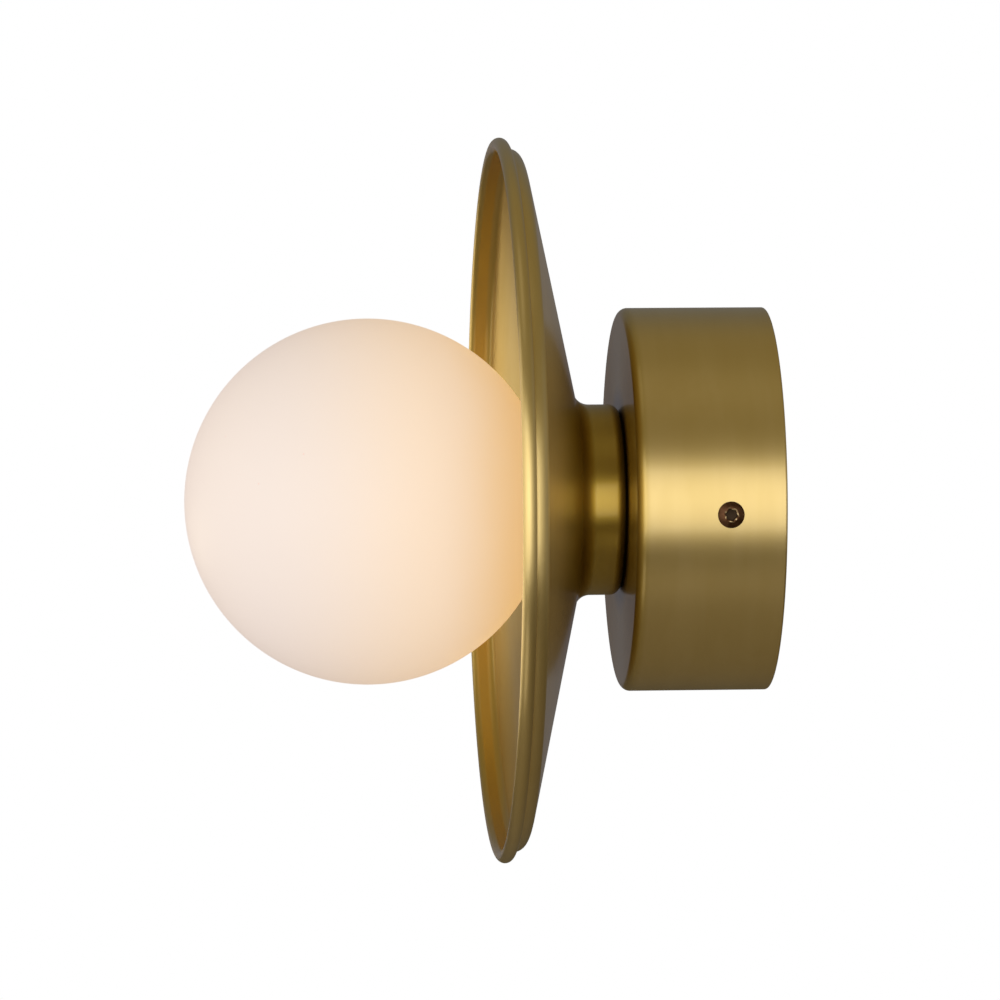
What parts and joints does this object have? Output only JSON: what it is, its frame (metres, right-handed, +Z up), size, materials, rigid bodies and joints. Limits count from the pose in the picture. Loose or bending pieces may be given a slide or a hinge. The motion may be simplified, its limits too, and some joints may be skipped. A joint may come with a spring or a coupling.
{
  "type": "globe wall lamp",
  "caption": "Wall lamp: an opal glass globe stands in front of a wide, shallow spun brass dish on a deep round wall canopy; the globe unscrews to reach the bulb.",
  "frame": {"origin": "centre of the wall screw slots, on the wall plane", "axes": "+Y into the wall, so the lamp stands out along -Y; +Z up; +X to the right of someone facing the lamp"},
  "size_m": [0.24, 0.1925, 0.24],
  "materials": {
    "spun_brass": "satin, circular brushing",
    "gallery_brass": "turned",
    "bronze_screw": "dark bronze, satin",
    "zinc_steel": "zinc plated",
    "opal_glass": "opal, glossy",
    "silicone": "soft, matt",
    "holder_ceramic": "unglazed",
    "contact_metal": "nickel plated",
    "bulb_plastic": "white",
    "bulb_glass": "clear",
    "led_strip": "white board with yellow light chips",
    "terminal_plastic": "natural",
    "terminal_brass": "bright",
    "bush_plastic": "black",
    "lead_brown": "brown insulation",
    "lead_blue": "blue insulation",
    "lead_earth": "green insulation with a yellow stripe"
  },
  "bodies": {
    "fixture": {"wall_bracket": "zinc_steel", "canopy": "spun_brass", "canopy_screws": "bronze_screw", "stiffener_plate": "zinc_steel", "nipple": "zinc_steel", "rear_lock_washer": "zinc_steel", "rear_nut": "zinc_steel", "front_lock_washer": "zinc_steel", "front_nut": "zinc_steel", "wire_bush": "bush_plastic", "dish_shade": "spun_brass", "gallery": "gallery_brass", "holder_bridge": "zinc_steel", "lamp_holder": "holder_ceramic", "holder_contacts": "contact_metal", "holder_screws": "zinc_steel", "terminal_block": "terminal_plastic", "terminal_clamps": "terminal_brass", "terminal_screws": "zinc_steel", "terminal_fixing_screw": "zinc_steel", "live_lead": "lead_brown", "neutral_lead": "lead_blue", "earth_terminals": "contact_metal", "earth_screws": "terminal_brass", "earth_lead": "lead_earth"},
    "globe_seat": {"globe_gasket": "silicone"},
    "globe_glass": {"globe": "opal_glass"},
    "bulb": {"bulb_base": "bulb_plastic", "bulb_pins": "contact_metal", "bulb_envelope": "bulb_glass", "led_column": "led_strip"}
  },
  "joints": [
    {"name": "globe_advance", "type": "slide", "parent": "fixture", "child": "globe_seat", "axis": [0, -1, 0], "range_m": [0, 0.0113]},
    {"name": "globe_turn", "type": "hinge", "parent": "globe_seat", "child": "globe_glass", "pos_m": [0, -0.132, 0], "axis": [0, -1, 0], "range_deg": [0, 810]},
    {"name": "bulb_pull", "type": "slide", "parent": "fixture", "child": "bulb", "axis": [0, -1, 0], "range_m": [0, 0.012]}
  ],
  "couplings": [
    {"joint": "globe_advance", "follows": "globe_turn", "m_per_rad": 0.00079577}
  ]
}
